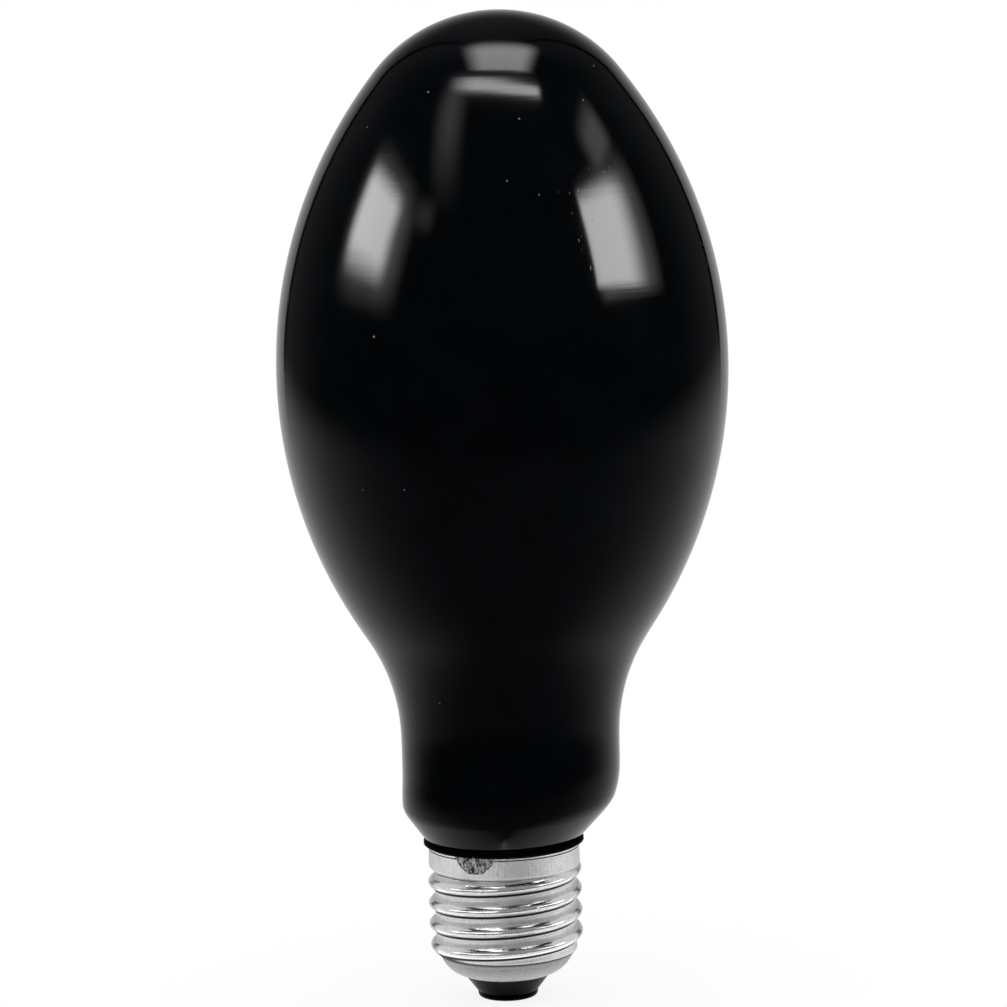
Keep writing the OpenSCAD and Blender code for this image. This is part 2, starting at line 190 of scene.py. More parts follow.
class BulbEndSettings(bpy.types.PropertyGroup):
    """Sizes and colours of the insulator, the end contact and the solder."""

    nose_height: length_setting("Nose height", 4.1, "Height of the shell's opening above the contact face")
    nose_diameter: length_setting("Nose diameter", 10.2, "Diameter of the nose at its lip")
    lip_height: length_setting("Lip height", 0.95, "Height of the lip round the contact")
    lip_radius: length_setting("Lip radius", 0.7, "Radius of the lip's lower edge")
    lip_step: length_setting("Lip step", 0.08, "How far the lip stands out past the cone above it")
    collar_height: length_setting(
        "Collar height", 2.2, "Height of the insulator's rim above the top of the dome"
    )
    collar_width: length_setting("Collar width", 1.2, "Width of the insulator's rim")
    floor_height: length_setting(
        "Cup floor height", 2.4, "Height of the cup's floor above the shell's opening"
    )
    floor_diameter: length_setting("Cup floor diameter", 6, "Diameter of the cup's floor round the hole")
    hole_diameter: length_setting("Hole diameter", 2, "Diameter of the insulator's middle hole")
    contact_diameter: length_setting("Contact diameter", 8.2, "Diameter of the end contact")
    contact_thickness: length_setting("Contact thickness", 0.6, "Thickness of the end contact")
    dish_diameter: length_setting("Dish diameter", 3.2, "Diameter of the dish in the contact")
    dish_depth: length_setting("Dish depth", 0.35, "Depth of the dish")
    dish_slope: length_setting("Dish slope", 0.3, "Width of the dish's sloping edge")
    dish_solder_inset: length_setting(
        "Dish solder inset", 0.08, "How far the solder in the dish stays below the face"
    )
    lead_diameter: length_setting("Lead diameter", 0.5, "Diameter of the lead wires")
    side_solder_turn: angle_setting("Side solder turn", 247, "Turn at which the side solder sits")
    side_solder_width: length_setting("Side solder width", 7.2, "Width of the side solder at the rim")
    side_solder_height: length_setting("Side solder height", 2.7, "Height of the side solder")
    side_solder_depth: length_setting("Side solder depth", 0.7, "How far the side solder stands out")
    insulator_colour: colour_setting("Insulator colour", "#010102", "Colour of the pressed insulator glass")
    contact_colour: colour_setting("Contact colour", "#D8C48A", "Colour of the brass contact")
    solder_colour: colour_setting("Solder colour", "#B9B9B8", "Colour of the bare solder")
    flux_colour: colour_setting("Flux colour", "#141413", "Colour of the burnt flux in the solder's folds")
    wire_colour: colour_setting("Wire colour", "#C8C5BE", "Colour of the nickel lead wires")


class BulbStudioSettings(bpy.types.PropertyGroup):
    """Places and strengths of the camera and the studio's lights."""

    camera_distance: length_setting(
        "Camera distance", 680, "Distance from the camera to the point it aims at"
    )
    camera_elevation: angle_setting("Camera elevation", 7.5, "Angle of the camera above the horizon")
    camera_roll: angle_setting("Camera roll", 1.7, "Turn of the camera about its own line of sight")
    aim_height: length_setting("Aim height", 84.5, "Height of the point that the camera aims at")
    side_shift: length_setting(
        "Side shift", 1.65, "How far the camera stands to the right of the bulb's axis"
    )
    lens: FloatProperty(
        name="Lens", description="Focal length of the camera in millimetres", default=144.75,
    )
    floor_radius: FloatProperty(
        name="Floor radius", description="Radius of the plain pale floor",
        default=1.6, unit="LENGTH",
    )


# Points and outlines


def arc(centre, radius, start, end, step):
    """Points (radius, height) along an arc between two angles, about one step apart."""
    count = max(2, math.ceil(abs(end - start) * radius / step))
    turns = [start + (end - start) * i / count for i in range(count + 1)]
    return [(centre[0] + radius * math.cos(t), centre[1] + radius * math.sin(t)) for t in turns]


def smooth_step(t):
    """A smooth step from 0 to 1 while t goes from 0 to 1."""
    u = min(max(t, 0.0), 1.0)
    return u * u * (3 - 2 * u)


class CapHeights:
    """Heights and radii of the cap, worked out from the settings."""

    def __init__(self, cap, end):
        self.dome_top_z = end.nose_height + cap.dome_height
        self.skirt_foot_z = self.dome_top_z + cap.thread_height
        self.skirt_z = self.skirt_foot_z + cap.skirt_foot_height
        self.rim_z = self.skirt_z + cap.skirt_height
        self.seat_z = self.rim_z + cap.bead_height
        self.thread_r = cap.thread_diameter / 2
        self.root_r = cap.root_diameter / 2
        self.skirt_r = cap.skirt_diameter / 2
        self.rim_r = cap.rim_diameter / 2
        self.dome_top_r = cap.dome_top_diameter / 2
        self.opening_r = cap.opening_diameter / 2
        self.bead_r = cap.bead_diameter / 2
        self.seat_r = self.bead_r - cap.bead_lip


# Free space between round pieces that sit in each other
ROUND_FIT = 0.05 * MM


def glass_outline(glass, seat_r, seat_z):
    """The glass from its exhaust tip up to the crown, as (radius, height) points."""
    step = 1.2 * MM
    corner_room_share = 0.95
    neck_r = glass.neck_diameter / 2
    bulb_r = glass.bulb_diameter / 2
    corner_room = (neck_r - seat_r) / (1 - math.cos(glass.seal_angle))
    corner_r = min(glass.corner_radius, corner_room * corner_room_share)
    corner_centre_r = neck_r - corner_r
    cone_top_r = corner_centre_r + corner_r * math.cos(glass.seal_angle)
    cone_top_z = seat_z + (cone_top_r - seat_r) / math.tan(glass.seal_angle)
    corner_centre_z = cone_top_z + corner_r * math.sin(glass.seal_angle)
    neck_top_z = corner_centre_z + glass.neck_length
    side_r = (bulb_r**2 + glass.crown_height**2 - 2 * glass.crown_height * glass.crown_radius) / (
        glass.bulb_diameter - 2 * glass.crown_radius
    )
    side_centre_r = bulb_r - side_r
    flank_centre_r = neck_r + glass.flank_radius
    waist_height = math.sqrt((side_r + glass.flank_radius) ** 2 - (flank_centre_r - side_centre_r) ** 2)
    widest_z = neck_top_z + waist_height
    crown_centre_z = widest_z + glass.crown_height - glass.crown_radius
    flank_angle = math.atan2(waist_height, flank_centre_r - side_centre_r)
    crown_angle = math.atan2(crown_centre_z - widest_z, -side_centre_r)
    right_angle = math.pi / 2

    stub_z = seat_z - glass.stub_length
    stub_r = glass.stub_diameter / 2
    edge_r = glass.stub_edge_radius
    tip_r = glass.tip_diameter / 2
    tip_z = stub_z - glass.tip_length
    tip = arc((0, tip_z + tip_r), tip_r, -right_angle, 0, step)
    stub = [(tip_r, stub_z)] + arc((stub_r - edge_r, stub_z + edge_r), edge_r, -right_angle, 0, step)
    seat = [(stub_r, seat_z), (seat_r, seat_z)]
    corner = arc((corner_centre_r, corner_centre_z), corner_r, -glass.seal_angle, 0, step)
    flank = arc((flank_centre_r, neck_top_z), glass.flank_radius, math.pi, math.pi - flank_angle, step)
    side = arc((side_centre_r, widest_z), side_r, -flank_angle, crown_angle, step)
    crown = arc((0, crown_centre_z), glass.crown_radius, crown_angle, right_angle, step)

    # Blown glass runs from one curve into the next without a break
    neck_steps = round(glass.neck_length / step)
    neck = [(neck_r, corner_centre_z + glass.neck_length * i / neck_steps) for i in range(1, neck_steps)]
    kept = len(corner) // 2
    low = corner[kept:] + neck + flank + side[1:]
    smoothing_passes = 4
    for _ in range(smoothing_passes):
        soft = [
            tuple((a + 2 * b + c) / 4 for a, b, c in zip(before, point, after))
            for before, point, after in zip(low, low[1:], low[2:])
        ]
        low = low[:1] + soft + low[-1:]
    return tip + stub + seat + corner[:kept] + low + crown[1:]


def plain_radius(z, cap, at):
    """Radius of the sheet's outside without the thread."""
    if z < at.skirt_foot_z:
        share = smooth_step((z - at.dome_top_z) / cap.dome_shoulder)
        return at.dome_top_r + (at.root_r - at.dome_top_r) * share
    if z < at.skirt_z:
        share = smooth_step((z - at.skirt_foot_z) / cap.skirt_foot_height)
        return at.root_r + (at.skirt_r - at.root_r) * share
    return at.skirt_r + (at.rim_r - at.skirt_r) * (z - at.skirt_z) / cap.skirt_height


def thread_rise(turn, z, cap, at):
    """How far the thread stands out of its root at one turn and height, from 0 to 1."""
    # The third harmonic widens crest and root to the round thread form of an Edison cap
    flat_share = 0.04
    overlap_share = 0.14
    turns = (cap.thread_height + cap.skirt_foot_height) / cap.pitch + overlap_share
    lead_in = (turn - cap.thread_start) / math.tau
    climbed = (z - at.dome_top_z) / cap.pitch - lead_in
    crest = round(climbed)
    growth = smooth_step((crest + lead_in) / cap.run_in)
    growth *= smooth_step((turns - crest - lead_in) / cap.run_out)
    phase = math.tau * (climbed - crest)
    wave = (1 + (math.cos(phase) - flat_share * math.cos(3 * phase)) / (1 - flat_share)) / 2
    return growth * wave


def dome_centre(low, high, radius):
    """The centre of the arc that joins two points of the dome's section."""
    chord = high - low
    rise = math.sqrt(radius**2 - (chord.length / 2) ** 2)
    return (low + high) / 2 + rise * Vector((-chord.y, chord.x)).normalized()


def dome_arc(cap, end, at):
    """The dome's section: one arc from the opening's edge up to its top edge."""
    step = 0.4 * MM
    low = Vector((at.opening_r, end.nose_height))
    high = Vector((at.dome_top_r, at.dome_top_z))
    centre = dome_centre(low, high, cap.dome_radius)
    start = math.atan2(low.y - centre.y, low.x - centre.x)
    stop = math.atan2(high.y - centre.y, high.x - centre.x)
    return arc(centre, cap.dome_radius, start, stop, step)


def inner_dome_arc(cap, end, at, inset, from_r, to_r):
    """The arc set in from the dome's outside, between two radii."""
    outer = dome_arc(cap, end, at)
    centre = dome_centre(Vector(outer[0]), Vector(outer[-1]), cap.dome_radius)
    radius = cap.dome_radius - inset
    start = -math.acos((from_r - centre.x) / radius)
    stop = -math.acos((to_r - centre.x) / radius)
    return arc(centre, radius, start, stop, 0.6 * MM)


# Modelling


def start_point(name, radius, height):
    """A new mesh in edit mode that holds one vertex: a plane merged at its middle."""
    bpy.ops.object.select_all(action="DESELECT")
    bpy.ops.mesh.primitive_plane_add(size=MM, location=(0, 0, 0))
    piece = bpy.context.active_object
    piece.name = name
    piece.data.name = name
    bpy.ops.object.mode_set(mode="EDIT")
    bpy.ops.mesh.merge(type="CENTER")
    bpy.ops.transform.translate(value=(radius, 0, height))
    return piece


def turned_piece(name, outline):
    """Draws an outline point by point with extrude, and spins it round the axis."""
    piece = start_point(name, *outline[0])
    for (r, z), (next_r, next_z) in zip(outline, outline[1:]):
        bpy.ops.mesh.extrude_region_move(TRANSFORM_OT_translate={"value": (next_r - r, 0, next_z - z)})
    bpy.ops.mesh.select_all(action="SELECT")
    bpy.ops.mesh.spin(steps=TURN_STEPS, angle=math.tau, center=(0, 0, 0), axis=(0, 0, 1))
    bpy.ops.mesh.select_all(action="SELECT")
    bpy.ops.mesh.remove_doubles(threshold=MERGE_DISTANCE)
    bpy.ops.mesh.normals_make_consistent(inside=False)
    bpy.ops.object.mode_set(mode="OBJECT")
    return piece


def apply_modifier(piece, kind, **settings):
    """Adds one modifier and applies it."""
    modifier = piece.modifiers.new(kind.title(), kind)
    for name, value in settings.items():
        setattr(modifier, name, value)
    bpy.context.view_layer.objects.active = piece
    bpy.ops.object.modifier_apply(modifier=modifier.name)


def smooth(piece, angle):
    """Shades a piece smooth, with edges sharper than the angle left crisp."""
    bpy.ops.object.select_all(action="DESELECT")
    piece.select_set(True)
    bpy.context.view_layer.objects.active = piece
    bpy.ops.object.shade_smooth_by_angle(angle=angle)


def stand_for(piece, node):
    """The piece takes the place of its CAD node and rides on the one body."""
    low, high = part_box(node)
    points = [v.co for v in piece.data.vertices]
    for axis in range(3):
        ends = (min(p[axis] for p in points), max(p[axis] for p in points))
        if abs(ends[0] - low[axis]) > FIT_LIMIT or abs(ends[1] - high[axis]) > FIT_LIMIT:
            raise RuntimeError(f"{piece.name} no longer fits its CAD node {node}")
    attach(piece, "root")
    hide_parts(node)


def paint(piece, material):
    """Gives a piece one material in place of any other."""
    piece.data.materials.clear()
    piece.data.materials.append(material)


# Materials


def add_node(tree, kind, inputs=None, **settings):
    """Adds one shader node, sets its properties, and fills its inputs with values or other nodes.

    Another node stands for the first of its outputs that is in use. A Map Range node takes its value, the
    range it comes from and the range it goes to as inputs 0 to 4. A Mix node takes its share as input 0,
    numbers as 2 and 3, and colours as 6 and 7.
    """
    node = tree.nodes.new("ShaderNode" + kind)
    for name, value in settings.items():
        setattr(node, name, value)
    for name, value in (inputs or {}).items():
        socket = node.inputs[name]
        if isinstance(value, bpy.types.Node):
            value = next(output for output in value.outputs if output.enabled)
        if isinstance(value, bpy.types.NodeSocket):
            tree.links.new(value, socket)
        elif socket.type == "RGBA" and len(value) == 3:
            socket.default_value = (*value, 1.0)
        else:
            socket.default_value = value
    return node


# Settings that many nodes share
EASE = {"interpolation_type": "SMOOTHSTEP"}
COLOURS = {"data_type": "RGBA"}
TIMES = {"operation": "MULTIPLY"}
PLUS = {"operation": "ADD"}
MINUS = {"operation": "SUBTRACT"}
GREATER = {"operation": "MAXIMUM"}


def new_material(name):
    """A material with an empty node tree, and a way to add nodes to that tree."""
    material = bpy.data.materials.new(name)
    material.use_nodes = True
    material.node_tree.nodes.clear()
    return material, partial(add_node, material.node_tree)


# Specks of dust and lint that the photograph shows on the front of the glass: where they are, and their size
DUST_SPECKS = (
    ((-8.5, -19.7, 154.2), 0.28), ((16.4, -19.5, 152.2), 0.24), ((6.0, -25.4, 149.7), 0.26),
    ((3.7, -30.7, 140.1), 0.24), ((8.7, -31.1, 137.8), 0.20), ((18.4, -12.2, 157.4), 0.22),
    ((12.4, -4.9, 164.4), 0.24), ((-18.6, -15.6, 148.7), 0.20), ((-9.8, -15.9, 53.7), 0.24),
    ((-18.2, -31.3, 116.0), 0.30), ((-20.9, -27.8, 91.1), 0.22), ((-14.1, -32.3, 91.4), 0.22),
)


def black_filter_glass(glass):
    """Black filter glass, blown and fire-polished.

    It is opaque to the eye and deeply glossy, with faint waves, hairline scratches and a few specks of dust.
    """
    material, add = new_material("Black filter glass, blown")
    place = add("TexCoord").outputs["Object"]

    # The specks that the photograph shows, and a sparse scatter of others in 12 mm cells
    cell = 12 * MM
    speck = 0.16 * MM
    cells = add("TexVoronoi", {"Vector": place, "Scale": 1 / cell}).outputs
    chance = add("SeparateColor", {0: cells["Color"]})
    chosen = add("MapRange", {0: chance, 1: 0.72, 2: 0.74}, **EASE)
    near = add("MapRange", {0: cells["Distance"], 1: speck / cell, 2: 0.4 * speck / cell}, **EASE)
    dust = add("Math", {0: near, 1: chosen}, **TIMES)
    for spot, size in DUST_SPECKS:
        centre = tuple(length * MM for length in spot)
        distance = add("VectorMath", {0: place, 1: centre}, operation="DISTANCE").outputs["Value"]
        mark = add("MapRange", {0: distance, 1: 0.75 * size * MM, 2: 0.2 * size * MM}, **EASE)
        dust = add("Math", {0: dust, 1: mark}, **GREATER)

    # Hairline scratches: long thin blotches, kept only where the noise peaks and only in patches
    hair = add("Mapping", {"Vector": place, "Rotation": (0.5, 0.35, 0.2), "Scale": (1.0, 1.0, 0.05)})
    hairs = add("TexNoise", {"Vector": hair, "Scale": 1 / (0.45 * MM), "Detail": 1.0})
    hairs = add("MapRange", {0: hairs, 1: 0.70, 2: 0.80}, **EASE)
    patches = add("TexNoise", {"Vector": place, "Scale": 1 / (20 * MM), "Detail": 1.0})
    patches = add("MapRange", {0: patches, 1: 0.50, 2: 0.66}, **EASE)
    scratches = add("Math", {0: hairs, 1: patches}, **TIMES)

    # Level ripples 1.5 mm apart, which blowing and cooling leave low on the head and which are here spread
    # over all the glass, and broad faint waves
    flat = add("Mapping", {"Vector": place, "Scale": (0.05, 0.05, 1.0)})
    ripples = add("TexNoise", {"Vector": flat, "Scale": 1 / (1.5 * MM), "Detail": 2.0})
    waves = add("TexNoise", {"Vector": place, "Scale": 1 / (14 * MM), "Detail": 1.0})
    ripple_bump = add("Bump", {"Height": ripples, "Distance": 0.007 * MM, "Strength": 1.0})
    wave_bump = add("Bump", {"Height": waves, "Distance": 0.05 * MM, "Normal": ripple_bump, "Strength": 1.0})
    relief = add("Math", {0: scratches, 1: -0.2, 2: dust}, operation="MULTIPLY_ADD")
    bump = add("Bump", {"Height": relief, "Distance": 0.05 * MM, "Normal": wave_bump, "Strength": 0.6})

    haze = add("TexNoise", {"Vector": place, "Scale": 1 / (30 * MM), "Detail": 2.0})
    haze = add("MapRange", {0: haze, 1: 0.3, 2: 0.7, 3: 0.05, 4: 0.085}, **EASE)
    scratched = add("Math", {0: scratches, 1: 0.14, 2: haze}, operation="MULTIPLY_ADD")
    roughness = add("Math", {0: dust, 1: 0.6, 2: scratched}, operation="MULTIPLY_ADD")
    # A faint film of handling marks, which on the bulb lies mostly on the lower half, is spread in patches
    # over all the glass
    film = add("TexNoise", {"Vector": place, "Scale": 1 / (9 * MM), "Detail": 5.0, "Roughness": 0.7})
    film = add("MapRange", {0: film, 1: 0.42, 2: 0.72}, **EASE)
    colour = add("Mix", {0: film, 6: glass.glass_colour[:], 7: glass.film_colour[:]}, **COLOURS)
    colour = add("Mix", {0: dust, 6: colour, 7: glass.dust_colour[:]}, **COLOURS)
    shader = add(
        "BsdfPrincipled", {"Base Color": colour, "Roughness": roughness, "IOR": 1.52, "Normal": bump}
    )
    add("OutputMaterial", {"Surface": shader})
    return material


def nickel_plated_sheet(cap, at):
    """Nickel-plated brass sheet, drawn and rolled.

    The skirt, the dome and the grooves are satin with fine lines, as drawn. The rolls burnished the crests,
    so those are bright and streaky. A dark line under each turn and under the rim's bead is painted shade.
    """
    material, add = new_material("Nickel-plated sheet, rolled")
    coordinates = add("TexCoord").outputs
    place = coordinates["Object"]
    x, y, height = add("SeparateXYZ", {0: place}).outputs
    slope = add("SeparateXYZ", {0: coordinates["Normal"]}).outputs[2]
    turn = add("Math", {0: y, 1: x}, operation="ARCTAN2")
    level = add("CombineXYZ", {0: x, 1: y})
    radius = add("VectorMath", {0: level}, operation="LENGTH").outputs["Value"]
    around = add("Math", {0: turn, 1: at.skirt_r}, **TIMES)
    unrolled = add("CombineXYZ", {0: around, 1: radius, 2: height})

    # Upright drawing lines 0.24 mm apart, and streaks 0.16 mm high that run round with the rolls
    upright = add("Mapping", {"Vector": unrolled, "Rotation": (0.0, 0.12, 0.0), "Scale": (1.0, 0.2, 0.10)})
    lines = add("TexNoise", {"Vector": upright, "Scale": 1 / (0.24 * MM), "Detail": 1.0})
    along = add("Mapping", {"Vector": unrolled, "Scale": (0.05, 0.6, 1.0)})
    streaks = add("TexNoise", {"Vector": along, "Scale": 1 / (0.5 * MM), "Detail": 3.0, "Roughness": 0.6})
    dents = add("TexNoise", {"Vector": unrolled, "Scale": 1 / (1.8 * MM), "Detail": 2.0})
    grit = add("TexNoise", {"Vector": place, "Scale": 1 / (0.3 * MM), "Detail": 3.0})

    skirt = add("MapRange", {0: height, 1: at.skirt_foot_z, 2: at.skirt_z}, **EASE)
    threaded = add("Math", {0: 1.0, 1: skirt}, **MINUS)
    above_dome = add("MapRange", {0: height, 1: at.dome_top_z, 2: at.dome_top_z + 1.2 * MM}, **EASE)
    threaded = add("Math", {0: threaded, 1: above_dome}, **TIMES)
    crest = add("MapRange", {0: radius, 1: at.root_r + 0.42 * MM, 2: at.root_r + 0.70 * MM}, **EASE)
    bright = add("Math", {0: crest, 1: threaded}, **TIMES)
    rim = add("MapRange", {0: height, 1: at.rim_z - 0.45 * MM, 2: at.rim_z - 0.3 * MM}, **EASE)
    bright = add("Math", {0: bright, 1: rim}, **GREATER)

    # Painted shade: a dark line under each turn and one under the rim's bead. Also faint blotches of tarnish
    steep = add("MapRange", {0: slope, 1: -0.42, 2: -0.60}, **EASE)
    low = add("MapRange", {0: radius, 1: at.root_r + 0.72 * MM, 2: at.root_r + 0.52 * MM}, **EASE)
    line = add("Math", {0: steep, 1: low}, **TIMES)
    line = add("Math", {0: line, 1: threaded}, **TIMES)
    # Painted shade: a dark line in the crease under the rim's bead
    rim_foot_z = at.rim_z - cap.rim_bead_height
    at_foot = add("Math", {0: height, 1: rim_foot_z - 0.05 * MM, 2: 0.11 * MM}, operation="COMPARE")
    line = add("Math", {0: line, 1: at_foot}, **GREATER)
    blotches = add("TexNoise", {"Vector": place, "Scale": 1 / (3.0 * MM), "Detail": 4.0, "Roughness": 0.65})
    blotches = add("MapRange", {0: blotches, 1: 0.48, 2: 0.78, 4: 0.42}, **EASE)
    fine_grit = add("MapRange", {0: grit, 1: 0.45, 2: 0.75, 4: 0.35}, **EASE)
    tarnish = add("Math", {0: blotches, 1: fine_grit}, **GREATER)
    colour = add("Mix", {0: tarnish, 6: cap.plating_colour[:], 7: cap.tarnish_colour[:]}, **COLOURS)
    # The dark lines laid over the plating here are painted shade
    colour = add("Mix", {0: line, 6: colour, 7: cap.painted_shade_colour[:]}, **COLOURS)

    # The dome was never burnished, so it stays satin. Its plating, and the thread just above it, is painted
    # darker as painted shade where the cap faces down
    dome = add("MapRange", {0: height, 1: at.dome_top_z + 1.4 * MM, 2: at.dome_top_z}, **EASE)
    colour = add("Mix", {0: dome, 6: colour, 7: cap.dome_shade_colour[:]}, blend_type="MULTIPLY", **COLOURS)

    satin = add("MapRange", {0: grit, 1: 0.3, 2: 0.7, 3: 0.46, 4: 0.60}, **EASE)
    burnished = add("MapRange", {0: streaks, 1: 0.35, 2: 0.65, 3: 0.10, 4: 0.24}, **EASE)
    roughness = add("Mix", {0: bright, 2: satin, 3: burnished})
    drawn = add("Math", {0: lines, 1: skirt}, **TIMES)
    drawn = add("Math", {0: drawn, 1: 3.0}, **TIMES)
    relief = add("Math", {0: streaks, 1: 0.7, 2: drawn}, operation="MULTIPLY_ADD")
    relief = add("Math", {0: grit, 1: 0.25, 2: relief}, operation="MULTIPLY_ADD")
    fine_bump = add("Bump", {"Height": relief, "Distance": 0.03 * MM, "Strength": 1.0})
    bump = add("Bump", {"Height": dents, "Distance": 0.05 * MM, "Normal": fine_bump, "Strength": 1.0})
    shader = add(
        "BsdfPrincipled", {"Base Color": colour, "Metallic": 1.0, "Roughness": roughness, "Normal": bump}
    )
    add("OutputMaterial", {"Surface": shader})
    return material


def black_basing_cement(cap):
    """Black basing cement, baked: dead black and matt, with a fine grain."""
    material, add = new_material("Black basing cement, baked")
    place = add("TexCoord").outputs["Object"]
    crumbs = add("TexNoise", {"Vector": place, "Scale": 1 / (0.35 * MM), "Detail": 3.0})
    worn = add("MapRange", {0: crumbs, 1: 0.55, 2: 0.8}, **EASE)
    colour = add("Mix", {0: worn, 6: cap.cement_colour[:], 7: linear("#0A0A0B")}, **COLOURS)
    roughness = add("MapRange", {0: crumbs, 1: 0.3, 2: 0.7, 3: 0.6, 4: 0.8}, **EASE)
    bump = add("Bump", {"Height": crumbs, "Distance": 0.02 * MM, "Strength": 1.0})
    shader = add(
        "BsdfPrincipled",
        {"Base Color": colour, "Roughness": roughness, "Specular IOR Level": 0.05, "Normal": bump},
    )
    add("OutputMaterial", {"Surface": shader})
    return material


def pressed_black_glass(end):
    """Black insulator glass, pressed: dead black, half matt from the mould, with a faint skin."""
    material, add = new_material("Black insulator glass, pressed")
    place = add("TexCoord").outputs["Object"]
    skin = add("TexNoise", {"Vector": place, "Scale": 1 / (0.8 * MM), "Detail": 3.0})
    worn = add("MapRange", {0: skin, 1: 0.5, 2: 0.8}, **EASE)
    colour = add("Mix", {0: worn, 6: end.insulator_colour[:], 7: linear("#030304")}, **COLOURS)
    roughness = add("MapRange", {0: skin, 1: 0.3, 2: 0.7, 3: 0.22, 4: 0.38}, **EASE)
    bump = add("Bump", {"Height": skin, "Distance": 0.02 * MM, "Strength": 1.0})
    shader = add(
        "BsdfPrincipled",
        {"Base Color": colour, "Roughness": roughness, "Specular IOR Level": 0.1, "Normal": bump},
    )
    add("OutputMaterial", {"Surface": shader})
    return material


def stamped_brass(end):
    """Brass, stamped and wiped: pale yellow and satin, with fine rings from the die and brown stains."""
    material, add = new_material("Brass contact, stamped")
    place = add("TexCoord").outputs["Object"]
    x, y = add("SeparateXYZ", {0: place}).outputs[:2]
    level = add("CombineXYZ", {0: x, 1: y})
    radius = add("VectorMath", {0: level}, operation="LENGTH").outputs["Value"]
    rings = add("CombineXYZ", {0: radius})
    ring_marks = add("TexNoise", {"Vector": rings, "Scale": 1 / (0.18 * MM), "Detail": 2.0})
    stain = add("TexNoise", {"Vector": place, "Scale": 1 / (1.6 * MM), "Detail": 4.0})
    stain = add("MapRange", {0: stain, 1: 0.45, 2: 0.75, 4: 0.6}, **EASE)
    colour = add("Mix", {0: stain, 6: end.contact_colour[:], 7: linear("#8C7440")}, **COLOURS)
    roughness = add("MapRange", {0: stain, 2: 0.6, 3: 0.24, 4: 0.42}, **EASE)
    bump = add("Bump", {"Height": ring_marks, "Distance": 0.01 * MM, "Strength": 1.0})
    shader = add(
        "BsdfPrincipled", {"Base Color": colour, "Metallic": 1.0, "Roughness": roughness, "Normal": bump}
    )
    add("OutputMaterial", {"Surface": shader})
    return material


def tin_lead_solder(end):
    """Tin-lead solder, dabbed on and frozen: dull grey with bright folds and burnt flux between them."""
    material, add = new_material("Tin-lead solder, frozen")
    place = add("TexCoord").outputs["Object"]
    hanging = add("Mapping", {"Vector": place, "Scale": (1.0, 1.0, 0.45)})
    folds = add(
        "TexNoise",
        {"Vector": hanging, "Scale": 1 / (0.55 * MM), "Detail": 4.0, "Roughness": 0.6, "Distortion": 1.0},
    )
    grain = add("TexNoise", {"Vector": place, "Scale": 1 / (0.14 * MM), "Detail": 2.0})
    flux = add("MapRange", {0: folds, 1: 0.56, 2: 0.44}, **EASE)
    colour = add("Mix", {0: flux, 6: end.solder_colour[:], 7: end.flux_colour[:]}, **COLOURS)
    metal = add("MapRange", {0: flux, 3: 1.0, 4: 0.2})
    roughness = add("MapRange", {0: grain, 1: 0.3, 2: 0.7, 3: 0.26, 4: 0.5}, **EASE)
    relief = add("Math", {0: grain, 1: 0.3, 2: folds}, operation="MULTIPLY_ADD")
    bump = add("Bump", {"Height": relief, "Distance": 0.14 * MM, "Strength": 1.0})
    shader = add(
        "BsdfPrincipled", {"Base Color": colour, "Metallic": metal, "Roughness": roughness, "Normal": bump}
    )
    add("OutputMaterial", {"Surface": shader})
    return material


def drawn_nickel_wire(end):
    """Nickel wire, drawn: grey and satin with a faint drawing grain."""
    material, add = new_material("Nickel wire, drawn")
    place = add("TexCoord").outputs["Object"]
    along = add("Mapping", {"Vector": place, "Scale": (1.0, 1.0, 0.1)})
    marks = add("TexNoise", {"Vector": along, "Scale": 1 / (0.1 * MM), "Detail": 2.0})
    colour = add("Mix", {0: marks, 6: end.wire_colour[:], 7: linear("#A09C93")}, **COLOURS)
    roughness = add("MapRange", {0: marks, 1: 0.3, 2: 0.7, 3: 0.26, 4: 0.4}, **EASE)
    bump = add("Bump", {"Height": marks, "Distance": 0.005 * MM, "Strength": 1.0})
    shader = add(
        "BsdfPrincipled", {"Base Color": colour, "Metallic": 1.0, "Roughness": roughness, "Normal": bump}
    )
    add("OutputMaterial", {"Surface": shader})
    return material


# Pieces


class BULB_OT_glass_bulb(bpy.types.Operator):
    """Spin the black glass bulb, and skew its neck as hand sealing left it"""

    bl_idname = "bulb.glass_bulb"
    bl_label = "Glass bulb"

    def execute(self, context):
        glass = context.scene.bulb_glass
        at = CapHeights(context.scene.bulb_cap, context.scene.bulb_end)
        piece = turned_piece("glass_bulb", glass_outline(glass, at.seat_r, at.seat_z))
        # Up to this height above the seal the neck takes on its offset. Up to twice this its skew dies out
        settle = 12 * MM
        # The offset has begun this far below the seal, so it already shows there
        lead = 3 * MM
        slope = math.tan(glass.seal_skew)
        lean = math.tan(glass.seal_lean)
        for vertex in piece.data.vertices:
            above = vertex.co.z - at.seat_z
            if above > 0:
                skew = smooth_step(2 * above / settle) * (1 - smooth_step(above / settle - 1))
                vertex.co.z += slope * vertex.co.x * skew
                offset = glass.seal_offset * smooth_step((above + lead) / (settle + lead))
                vertex.co.x += offset + lean * max(above - settle, 0)
        smooth(piece, math.radians(40))
        paint(piece, black_filter_glass(glass))
        stand_for(piece, "glass_envelope")
        return {"FINISHED"}


